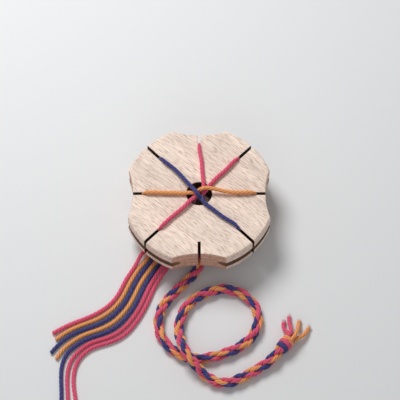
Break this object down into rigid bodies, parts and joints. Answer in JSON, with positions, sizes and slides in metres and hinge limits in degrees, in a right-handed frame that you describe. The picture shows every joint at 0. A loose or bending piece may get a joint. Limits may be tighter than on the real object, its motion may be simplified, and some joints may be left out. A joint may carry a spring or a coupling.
{
  "type": "braiding disk",
  "caption": "Scalloped wooden braiding disk with a grooved rim: radial slots hold yarns over its face, and their round braid leaves the centre hole to a knot.",
  "frame": {"origin": "on the axis of the centre hole, halfway between the wooden star's underside and the top of the yarn that crosses highest over its face", "axes": "+Z along the hole, out of the face that is worked on; +Y from the hole to slot 1, with the slots numbered clockwise seen from above, so the empty slot 5 is at -Y"},
  "size_m": [0.136, 0.1525, 0.028],
  "materials": {
    "beech": "fine sanded pale beech with short dark flecks, unvarnished",
    "yarn_pink": "soft twisted cotton yarn",
    "yarn_orange": "soft twisted cotton yarn",
    "yarn_blue": "soft twisted cotton yarn"
  },
  "bodies": {
    "root": {"braiding_star": "beech", "strand_1_pink": "yarn_pink", "strand_2_pink": "yarn_pink", "strand_3_orange": "yarn_orange", "strand_4_blue": "yarn_blue", "strand_6_pink": "yarn_pink", "strand_7_orange": "yarn_orange", "strand_8_blue": "yarn_blue", "tail_1_pink": "yarn_pink", "tail_2_pink": "yarn_pink", "tail_3_orange": "yarn_orange", "tail_4_blue": "yarn_blue", "tail_6_pink": "yarn_pink", "tail_7_orange": "yarn_orange", "tail_8_blue": "yarn_blue", "braid": "yarn_pink", "end_knot": "yarn_pink", "cut_end_1_pink": "yarn_pink", "cut_end_2_pink": "yarn_pink", "cut_end_3_orange": "yarn_orange", "cut_end_4_blue": "yarn_blue", "cut_end_6_pink": "yarn_pink", "cut_end_7_orange": "yarn_orange", "cut_end_8_blue": "yarn_blue"}
  },
  "joints": []
}
